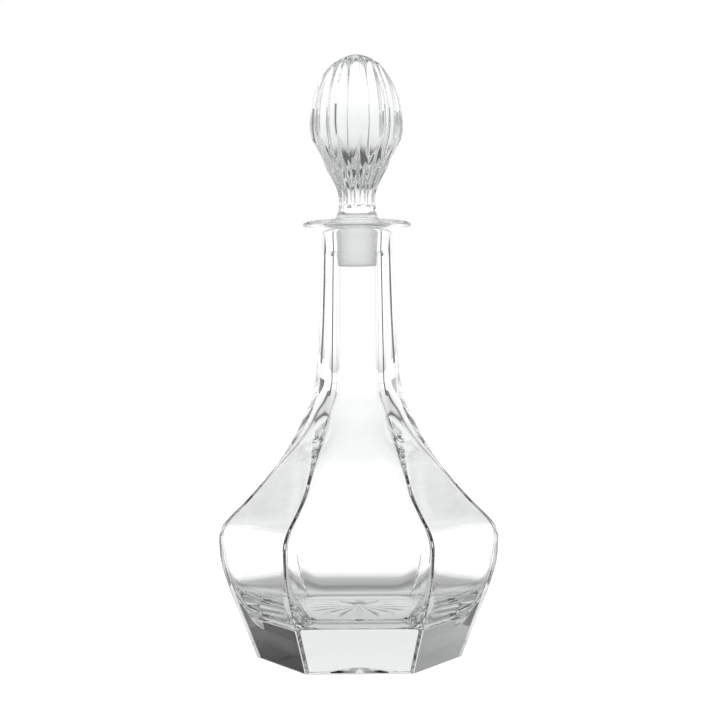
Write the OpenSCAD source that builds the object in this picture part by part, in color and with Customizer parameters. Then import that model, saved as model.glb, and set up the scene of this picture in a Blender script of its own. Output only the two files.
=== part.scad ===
// Cut crystal decanter: a six-sided bottle with a heavy base and a long round neck, and a solid
// fluted stopper whose ground plug fits the mouth.
// Millimetres, +Z up. The origin is on the table under the middle of the base. A flat side of the
// body faces -Y, and two of its ribs lie along +X and -X.

/* [Body] */
// Height of the mouth's rim above the table
body_h = 234; // [228:1:240]
// Radius of the ribs where the body stands on the table
foot_r = 56; // [50:0.5:60]
// Radius of the ribs at the shoulder, the widest place
shoulder_r = 76.6; // [72:0.2:80]
// Height of the shoulder
shoulder_z = 65; // [62:0.5:68]
// Outer radius at the foot of the neck
neck_r = 22.9; // [22:0.1:24]
// Outer radius of the neck at the mouth
lip_r = 19.2; // [18:0.1:20]
// Rounding of the cut ribs on the body, as a part of the side's distance from the middle
rib_round = 0.012; // [0.01:0.002:0.05]
// Bevel round the foot
foot_bevel = 0.9; // [0.4:0.1:1.5]

/* [Inside] */
// Thickness of the solid glass under the inside floor
floor_t = 25; // [18:0.5:28]
// Height of the curve round the hollow's floor
floor_rise = 20; // [14:0.5:24]
// Width of the curve round the hollow's floor
floor_in = 10; // [6:0.5:16]
// Thickness of the walls at the shoulder
wall_t = 3.2; // [2.5:0.1:4]
// Radius of the bore where it opens into the body
bore_r = 12; // [11.6:0.1:12.4]

/* [Star cut] */
// Number of points of the star under the base
star_points = 16; // [12:2:24]
// Radius of the star at its points
star_r = 28; // [18:0.5:32]
// Height of the star's middle above the table
star_h = 3.6; // [2:0.1:5]
// Distance of the star's inner corners from the middle, as a part of its radius
star_notch = 0.72; // [0.5:0.02:0.9]

/* [Stopper] */
// Height of the stopper's top above the table, seated
total_h = 330; // [326:1:334]
// Largest radius of the finial
finial_r = 25.8; // [24:0.1:27]
// Number of flutes round the finial, and again round its stem
flutes = 12; // [8:1:14]
// Depth of the flutes at the widest place
flute_depth = 2.2; // [1.4:0.1:2.6]
// Turn of the seated stopper in the neck
stopper_turn = 6; // [0:1:30]
// Radius of the flange
flange_r = 29.7; // [27:0.1:32]
// Radius of the ground plug at the level of the mouth's rim
plug_r = 11.6; // [11:0.1:11.8]
// Length of the ground plug below the rim
plug_l = 20; // [14:0.5:22]
// Gap between the plug and the mouth, square to the wall
plug_gap = 0.05; // [0.03:0.01:0.1]

/* [Hidden] */

glass = [0.86, 0.92, 0.93, 0.45];

sides = 6;
half_side = 180 / sides;
arc_steps = 6;         // straight steps round each rounded rib
ring_step = 5;         // height of one step up the body
neck_step = 12;        // height of one step up the neck
blend_z = 150;         // where the six-sided glass ends and the round neck starts
hex_top_z = 85;        // above this the ribs fade out
round_max = 0.96;      // roundness at blend_z, just short of a full circle
seam = 0.06;           // how far the neck covers the six-sided glass at blend_z

// Outlines are smooth curves through stations: height, value, slope.
rib_line = [
    [0, foot_r, 0.36],
    [shoulder_z - 17, shoulder_r - 2.2, 0.3],
    [shoulder_z, shoulder_r, 0.05],
    [shoulder_z + 13, shoulder_r - 6.6, -1.06],
    [104, 46.3, -0.79],
    [132, 29.8, -0.43],
    [156, neck_r, -0.1],
    [body_h, lip_r, -0.045]
];
// Thickness of the wall, measured level from side to side
wall_line = [
    [floor_t, wall_t + 0.7, 0],
    [shoulder_z, wall_t, 0],
    [shoulder_z + 15, wall_t + 0.7, 0.01],
    [104, wall_t + 0.9, 0.06],
    [122, 8, 0.27],
    [134, 10.9, 0.12],
    [blend_z, along(rib_line, blend_z) - bore_r, -0.19]
];
hollow_low_z = floor_t + floor_rise;
hollow_round_line = [
    [floor_t, 0.3, -0.008],
    [45, 0.15, -0.006],
    [68, 0.035, 0],
    [92, 0.045, 0.002],
    [104, 0.14, 0.014],
    [122, 0.55, 0.025],
    [138, 0.9, 0.01],
    [blend_z, round_max, 0]
];

// The plug and the mouth share a taper of 1 in 10 across the diameter.
taper = 1 / 20;
mouth_l = 12;          // length of the ground mouth above the step in the bore
bore_step = 0.25;      // how much wider the bore is below that step
lip_round = 3;
lip_chamfer = 0.6;

flange_t = 2.2;
flange_low = 0.8;      // lift of the flange's underside above the mouth, at the plug
flange_dish = 0.9;     // how much higher the flange's edge is than its middle
stem_z = body_h + 12;  // where the flutes of the stem end above the flange
stem_r = 10.5;
flare_r = 14.2;
stem_lap = 1.2;        // how far the stem runs down into the flare
flute_step = 3;        // straight steps from a flute's middle to its edge
finial_step = 3.4;     // height of one step up the finial
finial_z = total_h - 39;
finial_line = [
    [stem_z, stem_r, -0.1],
    [stem_z + 5.5, stem_r - 0.3, 0.02],
    [finial_z - 23, 17.3, 0.58],
    [finial_z, finial_r, 0]
];
cross_z = finial_z - 17.5;   // where the stem's flutes meet the finial's
cross_lean = 0.24;           // how fast one set of flutes rises out of the other
cap_z = total_h - 6;         // above this the flutes run out into a smooth cap
cap_lean = 0.25;             // how fast they run out

function lerp(a, b, t) = a + (b - a) * t;
function smooth(t) = let (u = min(max(t, 0), 1)) u * u * (3 - 2 * u);

// Value at height z of the curve through a list of stations
function span_at(line, z, i = 0) = i < len(line) - 2 && z > line[i + 1][0] ? span_at(line, z, i + 1) : i;
function along(line, z) =
    let (i = span_at(line, z), a = line[i], b = line[i + 1], h = b[0] - a[0], t = (z - a[0]) / h)
    (2 * pow(t, 3) - 3 * pow(t, 2) + 1) * a[1] + (pow(t, 3) - 2 * pow(t, 2) + t) * h * a[2]
    + (3 * pow(t, 2) - 2 * pow(t, 3)) * b[1] + (pow(t, 3) - pow(t, 2)) * h * b[2];

// Heights from z0 to z1 in equal steps of about the given size
function heights(z0, z1, step) = let (n = ceil(abs(z1 - z0) / step)) [for (i = [0:n]) lerp(z0, z1, i / n)];

// Ring of points round a six-sided section. Its corners have a radius of roundness * flat, so
// roundness runs from 0, a plain hexagon, to 1, a circle.
function flat_of_rib(rib, roundness) = rib * cos(half_side) / (1 - roundness * (1 - cos(half_side)));
function six_ring(flat, roundness, z) =
    let (c = roundness * flat, d = (flat - c) / cos(half_side))
    [for (corner = [0:sides - 1], j = [0:arc_steps])
        let (a = 2 * half_side * corner, b = a + half_side * (2 * j / arc_steps - 1))
        [d * cos(a) + c * cos(b), d * sin(a) + c * sin(b), z]];

function rib_roundness(z) = lerp(rib_round, round_max, smooth((z - hex_top_z) / (blend_z - hex_top_z)));
function outer_flat(z, inset = 0) = flat_of_rib(along(rib_line, z) - inset, rib_roundness(z));
function outer_ring(z, inset = 0) = six_ring(outer_flat(z, inset), rib_roundness(z), z);

// Distance of the hollow's side from the middle: the wall's inner side, and below hollow_low_z
// a quarter of an ellipse in to the flat floor
function floor_curve(z) = 1 - sqrt(1 - pow(max(0, 1 - (z - floor_t) / floor_rise), 2));
function hollow_flat(z) = outer_flat(z) - along(wall_line, z) - floor_in * floor_curve(z);
function hollow_ring(z) = six_ring(hollow_flat(z), along(hollow_round_line, z), z);

// Closed skin over rings that have the same number of points, first ring to last
module loft(rings) {
    n = len(rings[0]);
    last = (len(rings) - 1) * n;
    polyhedron(
        points = [for (ring = rings) each ring],
        faces = concat(
            [[for (j = [0:n - 1]) j]],
            [for (i = [0:len(rings) - 2], j = [0:n - 1])
                let (a = i * n + j, b = i * n + (j + 1) % n) each [[a, a + n, b], [b, a + n, b + n]]],
            [[for (j = [n - 1:-1:0]) last + j]]
        ),
        convexity = 6
    );
}

// Six-sided glass from the table up to the foot of the neck, with the hollow in it
module six_sided_glass() {
    floor_heights = [for (a = [15:15:90]) floor_t + floor_rise * (1 - sin(a))];
    loft(concat(
        [outer_ring(0, foot_bevel)],
        [for (z = heights(foot_bevel, blend_z, ring_step)) outer_ring(z)],
        [for (z = heights(blend_z, hollow_low_z, ring_step)) hollow_ring(z)],
        [for (z = floor_heights) hollow_ring(z)]
    ));
}

// Round neck with its bore, the ground mouth and the rounded lip
module neck() {
    mouth_r = plug_r + plug_gap;
    step_z = body_h - mouth_l;
    step_r = mouth_r - mouth_l * taper;
    lip_z = body_h - lip_round;
    inner_foot = hollow_flat(blend_z) - seam;
    rotate_extrude($fn = 96)
        polygon(concat(
            [for (z = heights(blend_z, lip_z, neck_step)) [along(rib_line, z) + seam, z]],
            [for (a = [15:15:90]) [lip_r - lip_round + lip_round * cos(a), lip_z + lip_round * sin(a)]],
            [[mouth_r + lip_chamfer, body_h], [mouth_r - lip_chamfer * taper, body_h - lip_chamfer],
             [step_r, step_z], [step_r + bore_step, step_z - bore_step], [inner_foot, blend_z]]
        ));
}

// Star of mitre cuts under the base, deepest in the middle
module star_cut() {
    star_ring = function(tip, z)
        [for (i = [0:2 * star_points - 1])
            let (r = i % 2 == 0 ? tip : tip * star_notch, a = 90 + i * 180 / star_points)
            [r * cos(a), r * sin(a), z]];
    below = 0.6;
    loft([
        star_ring(star_r * (1 + below / star_h), -below),
        star_ring(star_r * 0.18, star_h * 0.82),
        star_ring(0.6, star_h)
    ]);
}

module decanter_body() {
    color(glass)
        difference() {
            union() {
                six_sided_glass();
                neck();
            }
            star_cut();
        }
}

// Outline radius of the finial at height z: stem and swell below, half an ellipse above
function finial_radius(z) =
    z < finial_z ? along(finial_line, z)
        : finial_r * sqrt(max(0, 1 - pow((z - finial_z) / (total_h + 0.4 - finial_z), 2)));

// Radius of the cut finial at height z, u flute widths round. Two sets of flutes, half a flute
// apart, cross below the swell, and a smooth cap closes the top.
function hollow_of(u) = let (v = 2 * (u - floor(u)) - 1) 1 - v * v;
function cut_radius(z, u) =
    let (r = finial_radius(z), depth = flute_depth * r / finial_r, d = cross_lean * (z - cross_z))
    min(r - depth * hollow_of(u) + max(0, -d),
        r - 1.2 * depth * hollow_of(u + 0.5) + max(0, d),
        r - cap_lean * max(0, z - cap_z));

module fluted_finial() {
    n = 2 * flute_step * flutes;
    top = total_h - 0.8;
    ring = function(z)
        [for (i = [0:n - 1]) let (a = 360 * i / n, r = cut_radius(z, i / (2 * flute_step)))
            [r * cos(a), r * sin(a), z]];
    crown = [for (a = [8:11:74]) lerp(finial_z, total_h, sin(a))];
    loft(concat(
        [[for (p = ring(stem_z)) [p[0], p[1], stem_z - stem_lap]]],
        [for (z = heights(stem_z, finial_z, finial_step)) ring(z)],
        [for (z = crown) if (z < top - 1.5) ring(z)],
        [ring(top), [for (p = ring(top)) [p[0] * 0.6, p[1] * 0.6, total_h]]]
    ));
}

// Turned base of the stopper: ground plug, flange and the flare up to the stem
module plug_and_flange() {
    under = body_h + flange_low;
    rim_z = under + flange_dish + flange_t / 2;
    rim_r = flange_r - flange_t / 2;
    plug_end = body_h - plug_l;
    flare_z = rim_z + flange_t / 2 + 0.6;
    rotate_extrude($fn = 96)
        polygon(concat(
            [[0, plug_end], [plug_r - plug_l * taper - 0.5, plug_end],
             [plug_r - plug_l * taper, plug_end + 0.5], [plug_r + flange_low * taper, under],
             [flange_r * 0.75, under + flange_dish * 0.4]],
            [for (a = [-75:25:75]) [rim_r + flange_t / 2 * cos(a), rim_z + flange_t / 2 * sin(a)]],
            [for (t = [0:0.2:1]) [lerp(flare_r, stem_r + seam, sin(90 * t)), lerp(flare_z, stem_z, t * (0.4 + 0.6 * t))]],
            [[0, stem_z]]
        ));
}

module stopper() {
    color(glass)
        union() {
            plug_and_flange();
            rotate([0, 0, stopper_turn])
                fluted_finial();
        }
}

decanter_body();
stopper();
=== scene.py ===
from math import atan2, ceil, cos, pi, radians, sin, sqrt

import bmesh
import bpy
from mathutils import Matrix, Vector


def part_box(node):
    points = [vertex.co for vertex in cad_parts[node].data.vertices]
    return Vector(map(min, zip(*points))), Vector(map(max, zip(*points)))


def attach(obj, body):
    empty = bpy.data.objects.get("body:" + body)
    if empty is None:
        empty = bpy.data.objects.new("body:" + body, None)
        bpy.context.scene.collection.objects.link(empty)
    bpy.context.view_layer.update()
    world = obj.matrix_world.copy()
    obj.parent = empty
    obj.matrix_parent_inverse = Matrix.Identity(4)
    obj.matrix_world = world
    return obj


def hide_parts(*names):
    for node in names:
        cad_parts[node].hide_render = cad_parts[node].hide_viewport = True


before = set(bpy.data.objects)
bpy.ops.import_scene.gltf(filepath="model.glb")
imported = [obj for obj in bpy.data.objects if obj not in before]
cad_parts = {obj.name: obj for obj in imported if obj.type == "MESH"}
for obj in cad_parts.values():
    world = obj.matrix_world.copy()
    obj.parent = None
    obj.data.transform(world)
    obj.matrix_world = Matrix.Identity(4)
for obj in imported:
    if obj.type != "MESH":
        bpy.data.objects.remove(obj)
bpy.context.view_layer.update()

mm = 0.001
mergeGap = 0.0000005
print("frame loaded:", ", ".join(sorted(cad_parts)))

bodyLow, bodyHigh = [[v / mm for v in corner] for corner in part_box("decanter_body")]
stopLow, stopHigh = [[v / mm for v in corner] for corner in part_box("stopper")]


def mixed(a, b, t):
    return a + (b - a) * t


def eased(t):
    t = min(max(t, 0), 1)
    return t * t * (3 - 2 * t)


def softLeast(a, b, blur):        # the smaller of two, rounded over where they cross
    h = max(blur - abs(a - b), 0) / blur
    return min(a, b) - h * h * blur / 4


def along(line, z):        # smooth curve through stations of height, value and slope
    i = 0
    while i < len(line) - 2 and z > line[i + 1][0]:
        i += 1
    (z0, a, slopeA), (z1, b, slopeB) = line[i], line[i + 1]
    h = z1 - z0
    t = (z - z0) / h
    return ((2 * t ** 3 - 3 * t ** 2 + 1) * a + (t ** 3 - 2 * t ** 2 + t) * h * slopeA
            + (3 * t ** 2 - 2 * t ** 3) * b + (t ** 3 - t ** 2) * h * slopeB)


def steps(start, end, size):        # values from just after start up to end
    n = max(1, ceil(abs(end - start) / size))
    return [mixed(start, end, (i + 1) / n) for i in range(n)]


def startRing(name, turns):        # an open ring in edit mode, selected and ready to grow
    bpy.ops.object.select_all(action="DESELECT")
    bpy.ops.mesh.primitive_circle_add(vertices=len(turns), radius=mm, location=(0, 0, 0))
    piece = bpy.context.object
    piece.name = piece.data.name = name
    for vert, turn in zip(piece.data.vertices, turns):
        vert.co = (mm * cos(turn), mm * sin(turn), 0)
    bpy.ops.object.mode_set(mode="EDIT")
    bpy.ops.mesh.select_all(action="SELECT")
    return piece


def placeRing(piece, z, reach):        # reach is a radius, or a function of the turn round the axis
    mesh = bmesh.from_edit_mesh(piece.data)
    for vert in mesh.verts:
        if vert.select:
            turn = atan2(vert.co.y, vert.co.x)
            r = reach(turn) if callable(reach) else reach
            vert.co = (mm * r * cos(turn), mm * r * sin(turn), mm * z)
    bmesh.update_edit_mesh(piece.data)


def growRing(piece, z, reach):
    bpy.ops.mesh.extrude_region_move(TRANSFORM_OT_translate={"value": (0, 0, 0)})
    placeRing(piece, z, reach)


def closeAtCentre():
    bpy.ops.mesh.merge(type="CENTER")


def finishShell(piece, sharpAngle):        # one closed skin, facing out, with its creases kept
    bpy.ops.mesh.select_all(action="SELECT")
    bpy.ops.mesh.remove_doubles(threshold=mergeGap)
    bpy.ops.mesh.normals_make_consistent(inside=False)
    bpy.ops.mesh.select_all(action="DESELECT")
    bpy.ops.object.mode_set(mode="OBJECT")
    bpy.ops.object.select_all(action="DESELECT")
    piece.select_set(True)
    bpy.context.view_layer.objects.active = piece
    bpy.ops.object.shade_smooth_by_angle(angle=sharpAngle)


class Wire:        # a node's output socket that takes part in Python maths
    def __init__(self, tree, socket):
        self.tree = tree
        self.socket = socket

    def maths(self, operation, *others):
        return addNode(self.tree, "ShaderNodeMath", {"operation": operation}, self, *others)

    def __add__(self, other):
        return self.maths("ADD", other)

    def __radd__(self, other):
        return self.maths("ADD", other)

    def __sub__(self, other):
        return self.maths("SUBTRACT", other)

    def __mul__(self, other):
        return self.maths("MULTIPLY", other)

    def __rmul__(self, other):
        return self.maths("MULTIPLY", other)

    def __truediv__(self, other):
        return self.maths("DIVIDE", other)

    def __gt__(self, other):
        return self.maths("GREATER_THAN", other)

    def __lt__(self, other):
        return self.maths("LESS_THAN", other)

    def __rsub__(self, other):
        return addNode(self.tree, "ShaderNodeMath", {"operation": "SUBTRACT"}, other, self)


def addNode(tree, kind, settings, *values, out=0, **named):
    node = tree.nodes.new(kind)
    for key, value in settings.items():
        if key == "stops":
            ramp = node.color_ramp.elements
            while len(ramp) < len(value):
                ramp.new(1)
            for stop, (place, colour) in zip(ramp, value):
                stop.position = place
                stop.color = colour
        else:
            setattr(node, key, value)
    sockets = list(zip(node.inputs, values))
    sockets += [(node.inputs[name.replace("_", " ")], value) for name, value in named.items()]
    for socket, value in sockets:
        if isinstance(value, Wire):
            tree.links.new(value.socket, socket)
        elif value is not None:
            socket.default_value = value
    return Wire(tree, node.outputs[out])


def newMaterial(name):
    material = bpy.data.materials.new(name)
    material.use_nodes = True
    tree = material.node_tree
    return material, tree, tree.nodes["Principled BSDF"].inputs


def greys(stops):        # a ramp's stops from pairs of place and brightness
    return [(place, (light, light, light, 1)) for place, light in stops]


crystal = {
    "bend": 1.53,             # how strongly the glass bends light
    "tint": (0.985, 0.99, 0.99, 1),
    "polish": 0.004,
    "waveSize": 16,           # waves per metre inside, left by the mould and the fire polish
    "waveHeight": 0.0006,
    "scuffSize": 240,
    "cloud": 2.4,             # how much light thick glass swallows, per metre
}


def clearGlass(name):        # cut and polished glass, a little cloudy where it is thick
    material, tree, skin = newMaterial(name)
    skin["Base Color"].default_value = crystal["tint"]
    skin["Transmission Weight"].default_value = 1
    skin["IOR"].default_value = crystal["bend"]
    depth = addNode(tree, "ShaderNodeVolumeAbsorption", {}, (0, 0.04, 0.05, 1), crystal["cloud"])
    tree.links.new(depth.socket, tree.nodes["Material Output"].inputs["Volume"])
    place = addNode(tree, "ShaderNodeTexCoord", {}, out="Object")
    haze = addNode(tree, "ShaderNodeTexNoise", {}, Vector=place, Scale=crystal["scuffSize"], Detail=3)
    return material, tree, skin, place, crystal["polish"] + haze * 0.006


def squareDistance(tree, place):        # how far out a point is, measured square to the nearest flat side
    far = None
    for turn in (1, 3, 5):
        angle = turn * pi / 6
        side = addNode(tree, "ShaderNodeVectorMath", {"operation": "DOT_PRODUCT"}, place,
                       (cos(angle), sin(angle), 0), out="Value").maths("ABSOLUTE")
        far = far.maths("MAXIMUM", side) if far else side
    return far


def bottleGlass():        # slow waves on the fire-polished inside, none on the cut outside
    material, tree, skin, place, rough = clearGlass("bottleGlass")
    tree.links.new(rough.socket, skin["Roughness"])
    floorZ, neckZ, endZ = bottle["floorZ"], bottle["neckZ"], 200
    stops = [(0, 0), ((floorZ - 2) / endZ, 0)]
    for height in [floorZ - 1, *range(30, neckZ, 8), neckZ]:
        middle = outerSides(height)[0] - along(wallLine, height) / 2
        stops.append((height / endZ, middle * mm))
    z = addNode(tree, "ShaderNodeSeparateXYZ", {}, place, out="Z")
    wallMiddle = addNode(tree, "ShaderNodeValToRGB", {"stops": greys(stops)}, z / (endZ * mm))
    inside = squareDistance(tree, place) < wallMiddle
    fade = addNode(tree, "ShaderNodeMapRange", {}, z, neckZ * mm, endZ * mm, 1, 0)
    waves = addNode(tree, "ShaderNodeTexNoise", {}, Vector=place, Scale=crystal["waveSize"], Detail=2)
    bump = addNode(tree, "ShaderNodeBump", {}, Strength=0.35, Distance=crystal["waveHeight"],
                   Height=waves * inside * fade)
    tree.links.new(bump.socket, skin["Normal"])
    return material


def stopperGlass(groundTo):        # matt below groundTo, with the fine grain of the grinding
    material, tree, skin, place, rough = clearGlass("stopperGlass")
    ground = addNode(tree, "ShaderNodeSeparateXYZ", {}, place, out="Z") < groundTo
    grain = addNode(tree, "ShaderNodeTexNoise", {}, Vector=place, Scale=2600, Detail=4)
    tree.links.new((rough + ground * (0.5 + grain * 0.16)).socket, skin["Roughness"])
    bump = addNode(tree, "ShaderNodeBump", {}, Strength=0.5, Distance=0.00005, Height=grain * ground)
    tree.links.new(bump.socket, skin["Normal"])
    return material


bottle = {
    "footRib": 56,            # radius of the ribs on the table
    "shoulderRib": bodyHigh[0],
    "shoulderZ": 65,
    "neckR": 22.9,
    "lipR": 19.2,
    "mouthZ": bodyHigh[2],
    "ribRound": 0.012,        # rounding of the cut ribs, as a part of the side's distance
    "ribsFadeFrom": 85,
    "ribsFadeTo": 150,
    "footBevel": 0.9,
    "floorZ": 25,
    "floorRise": 20,          # height and width of the curve round the inside floor
    "floorIn": 10,
    "wall": 3.2,
    "boreR": 12,
    "neckZ": 150,             # where the six-sided glass has turned into the round neck
    "mouthR": 11.65,
    "groundMouth": 12,
    "taper": 1 / 20,
    "lipRound": 3,
}

star = {
    "points": 16,
    "radius": 28,
    "height": 3.6,
    "grooveSlope": 0.5,       # how steep the sides of each groove are
    "bow": 1.4,               # above 1, the grooves end in rounder leaves
    "perGroove": 12,          # points across one groove
    "rings": 30,
}

ribTurns = [0, 0.12, 0.25, 0.38, 0.52, 0.7, 0.9, 1.2, 1.6, 2.1, 2.7, 3.4, 4.2, 5.2, 6.4, 7.8, 9.5,
            11.5, 14, 17, 21, 25.5]        # degrees from a rib to the points of a ring
halfSide = pi / 6

ribLine = [               # reach of the ribs
    (0, bottle["footRib"], 0.36),
    (bottle["shoulderZ"] - 17, bottle["shoulderRib"] - 2.2, 0.3),
    (bottle["shoulderZ"], bottle["shoulderRib"], 0.05),
    (bottle["shoulderZ"] + 13, bottle["shoulderRib"] - 6.6, -1.06),
    (104, 46.3, -0.79),
    (132, 29.8, -0.43),
    (156, bottle["neckR"], -0.1),
    (bottle["mouthZ"], bottle["lipR"], -0.045),
]
wallLine = [              # how thick the wall is, measured level from side to side
    (bottle["floorZ"], bottle["wall"] + 0.7, 0),
    (bottle["shoulderZ"], bottle["wall"], 0),
    (bottle["shoulderZ"] + 15, bottle["wall"] + 0.7, 0.01),
    (104, bottle["wall"] + 0.9, 0.06),
    (122, 8, 0.27),
    (134, 10.9, 0.12),
    (bottle["neckZ"], along(ribLine, bottle["neckZ"]) - bottle["boreR"], -0.19),
]
hollowRoundLine = [       # how round the hollow's section is: 0 six-sided, 1 a circle
    (bottle["floorZ"], 0.3, -0.008),
    (45, 0.15, -0.006),
    (68, 0.035, 0),
    (92, 0.045, 0.002),
    (104, 0.14, 0.014),
    (122, 0.55, 0.025),
    (138, 0.92, 0.01),
    (bottle["neckZ"], 1, 0),
]


def sixSided(flat, roundness):        # six flat sides, with corners of radius roundness * flat
    c = roundness * flat
    d = (flat - c) / cos(halfSide)
    corner = atan2(c * sin(halfSide), d + c * cos(halfSide))

    def reach(turn):
        away = abs((turn + halfSide) % (2 * halfSide) - halfSide)
        if away < corner:
            return d * cos(away) + sqrt(max(0, c * c - (d * sin(away)) ** 2))
        return flat / cos(halfSide - away)
    return reach


def outerSides(z, inset=0):        # distance of the flat sides, and how round the section is
    fade = eased((z - bottle["ribsFadeFrom"]) / (bottle["ribsFadeTo"] - bottle["ribsFadeFrom"]))
    k = mixed(bottle["ribRound"], 1, fade)
    return (along(ribLine, z) - inset) * cos(halfSide) / (1 - k * (1 - cos(halfSide))), k


def outerSection(z, inset=0):
    return sixSided(*outerSides(z, inset))


def hollowSection(z, scale=1):        # the wall's inner side, curving in at the bottom to the flat floor
    up = min((z - bottle["floorZ"]) / bottle["floorRise"], 1)
    flat = outerSides(z)[0] - along(wallLine, z) - bottle["floorIn"] * (1 - sqrt(1 - (1 - up) ** 2))
    return sixSided(flat * scale, along(hollowRoundLine, z))


def makeStar():        # the mitre-cut star, sunk into the underside as its own disc
    grooves, perGroove, ringCount = star["points"], star["perGroove"], star["rings"]
    disc = startRing("starDisc", [2 * pi * (i + 0.5 * perGroove) / (grooves * perGroove)
                                  for i in range(grooves * perGroove)])

    def depth(r, turn):
        pitch = 2 * pi / grooves
        away = abs((turn + pitch / 2) % pitch - pitch / 2)
        centre = star["height"] * (1 - (r / star["radius"]) ** star["bow"])
        return max(0, centre - star["grooveSlope"] * r * sin(away))

    placeRing(disc, 0, star["radius"] * (ringCount + 1) / ringCount)
    for i in range(ringCount, 0, -1):
        growRing(disc, 0, star["radius"] * i / ringCount)
    closeAtCentre()
    mesh = bmesh.from_edit_mesh(disc.data)
    for vert in mesh.verts:
        vert.co.z = mm * depth(vert.co.xy.length / mm, atan2(vert.co.y, vert.co.x))
    bmesh.update_edit_mesh(disc.data)
    bpy.ops.object.mode_set(mode="OBJECT")
    return disc


def makeBottle():
    disc = makeStar()
    turns = []
    for rib in range(6):
        middle = 2 * halfSide * rib
        offsets = [-t for t in reversed(ribTurns[1:])] + ribTurns + [30]
        turns += [middle + radians(t) for t in offsets]
    shell = startRing("bottleShell", turns)

    # out across the underside, round the bevelled foot and up the outside
    bevel = bottle["footBevel"]
    placeRing(shell, 0, star["radius"] * 1.1)
    growRing(shell, 0, outerSection(0, 2.6 * bevel))
    growRing(shell, 0, outerSection(0, 1.6 * bevel))
    for a in range(0, 91, 15):
        z = bevel * (1 - cos(radians(a)))
        growRing(shell, z, outerSection(z, bevel * (1 - sin(radians(a)))))
    lipZ = bottle["mouthZ"] - bottle["lipRound"]
    for z in steps(bevel, 2.2 * bevel, 1) + steps(2.2 * bevel, lipZ, 1.8):
        growRing(shell, z, outerSection(z))
    print("bottle: outside done")

    # over the rounded lip and down the ground mouth to the step in the bore
    lip = bottle["lipRound"]
    edge = along(ribLine, lipZ) - lip
    for a in range(9, 91, 9):
        growRing(shell, lipZ + lip * sin(radians(a)), edge + lip * cos(radians(a)))
    mouthR, taper = bottle["mouthR"], bottle["taper"]
    chamfer = 0.8
    for a in range(0, 91, 18):
        growRing(shell, bottle["mouthZ"] - chamfer * (1 - cos(radians(a))),
                 mouthR + chamfer * (1 - sin(radians(a))))
    stepZ = bottle["mouthZ"] - bottle["groundMouth"]
    stepR = mouthR - bottle["groundMouth"] * taper
    for z in steps(bottle["mouthZ"] - chamfer, stepZ, 2):
        growRing(shell, z, mouthR - (bottle["mouthZ"] - z) * taper)
    for drop, widen in ((0.3, 0.03), (0.7, 0.14), (1.1, 0.24), (1.6, 0.28)):
        growRing(shell, stepZ - drop, stepR + widen)

    # down the bore, out to the walls and round to the flat floor
    boreTopR = stepR + 0.28
    boreTopZ, neckZ = stepZ - 1.6, bottle["neckZ"]
    for z in steps(boreTopZ, neckZ, 4):
        growRing(shell, z, mixed(bottle["boreR"], boreTopR, (z - neckZ) / (boreTopZ - neckZ)))
    for z in steps(neckZ, bottle["floorZ"] + bottle["floorRise"], 1.8):
        growRing(shell, z, hollowSection(z))
    for a in range(3, 91, 3):
        z = bottle["floorZ"] + bottle["floorRise"] * (1 - sin(radians(a)))
        growRing(shell, z, hollowSection(z))
    for scale in (0.96, 0.85, 0.65, 0.4, 0.18):
        growRing(shell, bottle["floorZ"], hollowSection(bottle["floorZ"], scale))
    closeAtCentre()
    bpy.ops.object.mode_set(mode="OBJECT")
    print("bottle: inside done")

    # the star joins the underside
    bpy.ops.object.select_all(action="DESELECT")
    disc.select_set(True)
    shell.select_set(True)
    bpy.context.view_layer.objects.active = shell
    bpy.ops.object.join()
    bpy.ops.object.mode_set(mode="EDIT")
    bpy.ops.mesh.select_all(action="DESELECT")
    bpy.ops.mesh.select_non_manifold(extend=False)
    bpy.ops.mesh.fill(use_beauty=False)
    finishShell(shell, radians(28))

    shell.data.materials.append(bottleGlass())
    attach(shell, "bottle")
    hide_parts("decanter_body")
    print("bottle:", len(shell.data.polygons), "faces")


stopperCut = {
    "flutes": 12,
    "fluteDepth": 2.2,
    "stemDepth": 1.2,         # depth of the stem's flutes, as a part of the finial's
    "ridgeRound": 0.05,       # part of a flute's half width that the ridge is rounded over
    "turn": radians(6),
    "topZ": stopHigh[2],
    "finialR": 25.8,
    "finialZ": stopHigh[2] - 39,
    "stemR": 10.5,
    "flangeR": stopHigh[0],
    "flangeLift": 0.8,
    "flangeDish": 0.9,
    "flangeEdge": 2.2,
    "plugEndZ": stopLow[2],
    "plugR": 11.6,
    "capZ": stopHigh[2] - 6,  # above this the flutes run out into a smooth cap
    "capLean": 0.25,
    "creaseBlur": 0.12,
    "stemZ": bottle["mouthZ"] + 12,
    "flareR": 14.2,
}


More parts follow.
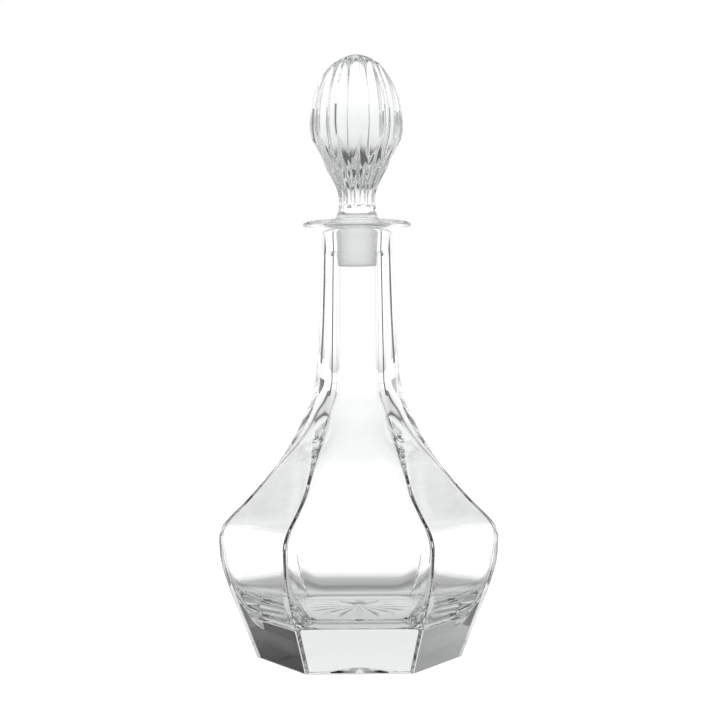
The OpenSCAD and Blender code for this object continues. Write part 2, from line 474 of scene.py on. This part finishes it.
def flutedReach(z):
    cut = stopperCut
    stemZ = cut["stemZ"]
    line = [
        (stemZ, cut["stemR"], -0.1),
        (stemZ + 5.5, cut["stemR"] - 0.3, 0.02),
        (cut["finialZ"] - 23, 17.3, 0.58),
        (cut["finialZ"], cut["finialR"], 0),
    ]
    if z < cut["finialZ"]:
        r = along(line, z)
    else:
        up = (z - cut["finialZ"]) / (cut["topZ"] + 0.4 - cut["finialZ"])
        r = cut["finialR"] * sqrt(max(0, 1 - up ** 2))
    depth = cut["fluteDepth"] * r / cut["finialR"]
    cross = 0.24 * (z - (cut["finialZ"] - 17.5))
    soft = cut["ridgeRound"]

    def hollow(u):        # 1 in the middle of a flute, nearly 0 on its rounded ridges
        edge = 1 - abs(2 * (u % 1) - 1)
        if edge < soft:
            return (1 - soft) / soft * edge * edge + soft
        return edge * (2 - edge)

    def reach(turn):
        u = (turn - cut["turn"]) / (2 * pi) * cut["flutes"]
        finial = r - depth * hollow(u) + max(0, -cross)
        stem = r - cut["stemDepth"] * depth * hollow(u + 0.5) + max(0, cross)
        cap = r - cut["capLean"] * max(0, z - cut["capZ"])
        return softLeast(softLeast(finial, stem, cut["creaseBlur"]), cap, cut["creaseBlur"])
    return reach


def makeStopper():
    cut = stopperCut
    parts = [0, 0.025, 0.05, 0.1, 0.2, 0.32, 0.45, 0.6, 0.78]
    offsets = parts + [1] + [2 - p for p in reversed(parts[1:])]
    pitch = 2 * pi / cut["flutes"]
    piece = startRing("stopperShell", [cut["turn"] + pitch * (i + p / 2)
                                       for i in range(cut["flutes"]) for p in offsets])

    # ground plug, from its chamfered end up to the flange
    mouthZ, taper = bottle["mouthZ"], bottle["taper"]
    endR = cut["plugR"] - (mouthZ - cut["plugEndZ"]) * taper
    placeRing(piece, cut["plugEndZ"], endR - 6)
    growRing(piece, cut["plugEndZ"], endR - 1.2)
    for a in range(0, 91, 18):
        growRing(piece, cut["plugEndZ"] + 0.5 * (1 - cos(radians(a))), endR - 0.5 * (1 - sin(radians(a))))
    underZ = mouthZ + cut["flangeLift"]
    for z in steps(cut["plugEndZ"] + 0.5, underZ - 0.4, 2):
        growRing(piece, z, cut["plugR"] - (mouthZ - z) * taper)
    growRing(piece, underZ - 0.1, cut["plugR"] + 0.1)
    growRing(piece, underZ, cut["plugR"] + 0.4)

    # flange, its rounded edge and the flare up to the stem
    edge = cut["flangeEdge"] / 2
    rimZ = underZ + cut["flangeDish"] + edge
    rimR = cut["flangeR"] - edge
    for r in steps(cut["plugR"] + 0.4, rimR, 2.2):
        t = (r - cut["plugR"]) / (rimR - cut["plugR"])
        growRing(piece, underZ + (rimZ - edge - underZ) * t * t, r)
    for a in range(-75, 91, 15):
        growRing(piece, rimZ + edge * sin(radians(a)), rimR + edge * cos(radians(a)))
    flareR = cut["flareR"]
    flareZ = rimZ + edge + 0.6
    for r in steps(rimR, flareR + 1, 2.5):
        t = (rimR - r) / (rimR - flareR)
        growRing(piece, mixed(rimZ + edge, flareZ, t * t), r)
    stemZ = cut["stemZ"]
    for t in steps(0, 1, 0.08):
        z = mixed(flareZ, stemZ, t * (0.4 + 0.6 * t))
        growRing(piece, z, mixed(flareR, cut["stemR"] + 0.06, sin(t * pi / 2)))
    print("stopper: plug and flange done")

    # fluted stem and finial, then the smooth cap
    for z in steps(stemZ + 0.15, cut["finialZ"], 0.9):
        growRing(piece, z, flutedReach(z))
    for a in range(3, 87, 3):
        z = mixed(cut["finialZ"], cut["topZ"], sin(radians(a)))
        growRing(piece, z, flutedReach(z))
    topR = flutedReach(cut["topZ"] - 0.05)(0)
    growRing(piece, cut["topZ"], topR * 0.8)
    growRing(piece, cut["topZ"], topR * 0.4)
    closeAtCentre()
    bpy.ops.mesh.select_all(action="DESELECT")
    bpy.ops.mesh.select_non_manifold(extend=False)
    bpy.ops.mesh.edge_face_add()
    finishShell(piece, radians(40))

    piece.data.materials.append(stopperGlass((underZ - 0.3) * mm))
    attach(piece, "stopper")
    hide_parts("stopper")
    print("stopper:", len(piece.data.polygons), "faces")


# White to the camera, with a tent, cards and a shaded mat that only the glass sees
studio = {
    "white": 1,
    "floorSize": 4,
    "floorLight": 1.2,
    "tentR": 1.5,
    # brightness of the tent from below to above, and from straight behind round to the front
    "tentLight": [(0, 1.2), (0.52, 1.2), (0.59, 1.15), (0.66, 1.05), (0.72, 1), (0.79, 0.95), (0.85, 0.9),
                  (0.93, 0.8), (1, 0.5)],
    "tentRound": [(0, 1), (0.12, 1), (0.16, 0.95), (0.195, 0.75), (0.215, 0.12), (0.24, 0.12), (0.27, 0.75),
                  (0.36, 0.95), (0.46, 0.9), (0.49, 0.2), (0.52, 0.1), (0.58, 0.4), (0.7, 0.6), (1, 0.62)],
    "matSize": 0.6,
    # brightness along half of matSize, from the middle outwards, in front and behind
    "matFront": [(0, 0.7), (0.145, 0.7), (0.16, 0.3), (0.18, 0.32), (0.22, 0.55), (0.5, 0.55), (0.7, 0.78),
                 (1, 1.2)],
    "matBack": [(0, 0.7), (0.145, 0.7), (0.16, 0.3), (0.18, 0.32), (0.24, 0.66), (0.3, 0.74), (0.34, 0.5),
                (0.38, 0.3), (0.42, 0.26), (0.45, 0.42), (0.49, 0.46), (0.55, 0.55), (0.61, 0.9), (0.73, 1.2)],
    "matBlend": (0.02, 0.07),        # where the mat turns from its front to its back brightness
    "cameraX": 0.0012,
    "cameraAway": 0.8607,
    "cameraZ": 0.1628,
    "lens": 78.5,
    "roll": radians(0.33),
}

cards = {        # middle, width, height, and how bright from the bottom edge to the top
    "lowCardRight": ((0.164, 0.189, 0.058), 0.105, 0.115, [(0, 0.02), (1, 0.02)]),
    "lowCardLeft": ((-0.164, 0.189, 0.058), 0.105, 0.115, [(0, 0.46), (1, 0.46)]),
    "neckGlowRight": ((0.095, 0.116, 0.123), 0.07, 0.032, [(0, 1.2), (1, 1.2)]),
    "neckGlowLeft": ((-0.095, 0.116, 0.123), 0.07, 0.032, [(0, 1.2), (1, 1.2)]),
    "edgeStripRight": ((0.394, 0.308, 0.2), 0.065, 0.3, [(0, 0.05), (1, 0.05)]),
    "edgeStripLeft": ((-0.394, 0.308, 0.2), 0.065, 0.3, [(0, 0.05), (1, 0.05)]),
    "softboxRight": ((0.53, 0.28, 0.18), 0.62, 0.19, [(0, 0.7), (0.3, 1.2), (1, 1.2)]),
    "softboxLeft": ((-0.53, 0.28, 0.18), 0.62, 0.19, [(0, 0.7), (0.3, 1.2), (1, 1.2)]),
    "fillRight": ((0.95, -0.6, 0.8), 1.1, 0.9, [(0, 0.7), (0.4, 1.1), (1, 1.1)]),
    "fillLeft": ((-0.95, -0.6, 0.8), 1.1, 0.9, [(0, 0.7), (0.4, 1.1), (1, 1.1)]),
    "upperCard": ((0, 0.4, 0.49), 0.34, 0.44, [(0, 1.2), (0.12, 1.08), (0.3, 0.98), (0.46, 0.8), (0.55, 0.35),
                                              (0.62, 0.08), (1, 0.06)]),
}


def glowMaterial(name, base=0.0):
    material, tree, skin = newMaterial(name)
    skin["Base Color"].default_value = (base, base, base, 1)
    skin["Roughness"].default_value = 1
    skin["Specular IOR Level"].default_value = 0
    skin["Emission Strength"].default_value = 1
    return material, tree, skin


def forGlassOnly(thing):
    thing.visible_camera = False
    thing.visible_diffuse = False
    thing.visible_shadow = False


def makeWorld():
    world = bpy.data.worlds.new("studioWhite")
    world.use_nodes = True
    world.node_tree.nodes["Background"].inputs["Color"].default_value = (studio["white"],) * 3 + (1,)
    bpy.context.scene.world = world


def makeFloor():
    bpy.ops.object.select_all(action="DESELECT")
    bpy.ops.mesh.primitive_plane_add(size=studio["floorSize"], location=(0, 0, -0.0004))
    floor = bpy.context.object
    floor.name = "paleFloor"
    material, tree, skin = glowMaterial("paleFloor", 0.03)
    skin["Emission Color"].default_value = (1, 1, 1, 1)
    skin["Emission Strength"].default_value = studio["floorLight"]
    floor.data.materials.append(material)


def makeMat():        # the shade that the heavy foot leaves on the table, seen only through the glass
    bpy.ops.object.select_all(action="DESELECT")
    bpy.ops.mesh.primitive_plane_add(size=studio["matSize"], location=(0, 0, -0.0002))
    mat = bpy.context.object
    mat.name = "shadedMat"
    material, tree, skin = glowMaterial("shadedMat")
    place = addNode(tree, "ShaderNodeTexCoord", {}, out="Object")
    y = addNode(tree, "ShaderNodeSeparateXYZ", {}, place, out="Y")
    away = squareDistance(tree, place) / (studio["matSize"] / 2)
    front = addNode(tree, "ShaderNodeValToRGB", {"stops": greys(studio["matFront"])}, away)
    back = addNode(tree, "ShaderNodeValToRGB", {"stops": greys(studio["matBack"])}, away)
    atBack = addNode(tree, "ShaderNodeMapRange", {}, y, *studio["matBlend"])
    tree.links.new((front + (back - front) * atBack).socket, skin["Emission Color"])
    mat.data.materials.append(material)
    forGlassOnly(mat)


def makeTent():
    bpy.ops.object.select_all(action="DESELECT")
    bpy.ops.mesh.primitive_uv_sphere_add(segments=48, ring_count=24, radius=studio["tentR"])
    tent = bpy.context.object
    tent.name = "lightTent"
    bpy.ops.object.shade_smooth()
    material, tree, skin = glowMaterial("lightTent")
    place = addNode(tree, "ShaderNodeTexCoord", {}, out="Object")
    x = addNode(tree, "ShaderNodeSeparateXYZ", {}, place, out="X")
    y = addNode(tree, "ShaderNodeSeparateXYZ", {}, place, out="Y")
    z = addNode(tree, "ShaderNodeSeparateXYZ", {}, place, out="Z") / (2 * studio["tentR"]) + 0.5
    turn = x.maths("ARCTAN2", y).maths("ABSOLUTE") / pi
    light = addNode(tree, "ShaderNodeValToRGB", {"stops": greys(studio["tentLight"])}, z)
    sides = addNode(tree, "ShaderNodeValToRGB", {"stops": greys(studio["tentRound"])}, turn)
    tree.links.new((light * sides).socket, skin["Emission Color"])
    tent.data.materials.append(material)
    forGlassOnly(tent)


def makeCard(name, place, width, height, stops):        # upright, facing the decanter
    bpy.ops.object.select_all(action="DESELECT")
    bpy.ops.mesh.primitive_plane_add(size=1, location=place, rotation=(pi / 2, 0, atan2(-place[0], place[1])))
    card = bpy.context.object
    card.name = name
    card.scale = (width, height, 1)
    material, tree, skin = glowMaterial(name)
    place = addNode(tree, "ShaderNodeTexCoord", {}, out="Object")
    up = addNode(tree, "ShaderNodeSeparateXYZ", {}, place, out="Y") + 0.5
    light = addNode(tree, "ShaderNodeValToRGB", {"stops": greys(stops)}, up)
    tree.links.new(light.socket, skin["Emission Color"])
    card.data.materials.append(material)
    forGlassOnly(card)


def makeCamera():
    bpy.ops.object.camera_add(location=(studio["cameraX"], -studio["cameraAway"], studio["cameraZ"]),
                              rotation=(pi / 2, studio["roll"], 0))
    camera = bpy.context.object
    camera.data.lens = studio["lens"]
    camera.data.clip_start = 0.01
    bpy.context.scene.camera = camera


def setLight():
    scene = bpy.context.scene
    scene.view_settings.view_transform = "Standard"
    scene.cycles.max_bounces = 48
    scene.cycles.transmission_bounces = 48
    scene.cycles.glossy_bounces = 16
    scene.cycles.transparent_max_bounces = 16


makeBottle()
makeStopper()
makeWorld()
makeFloor()
makeMat()
makeTent()
for name, card in cards.items():
    makeCard(name, *card)
makeCamera()
setLight()
print("studio ready")
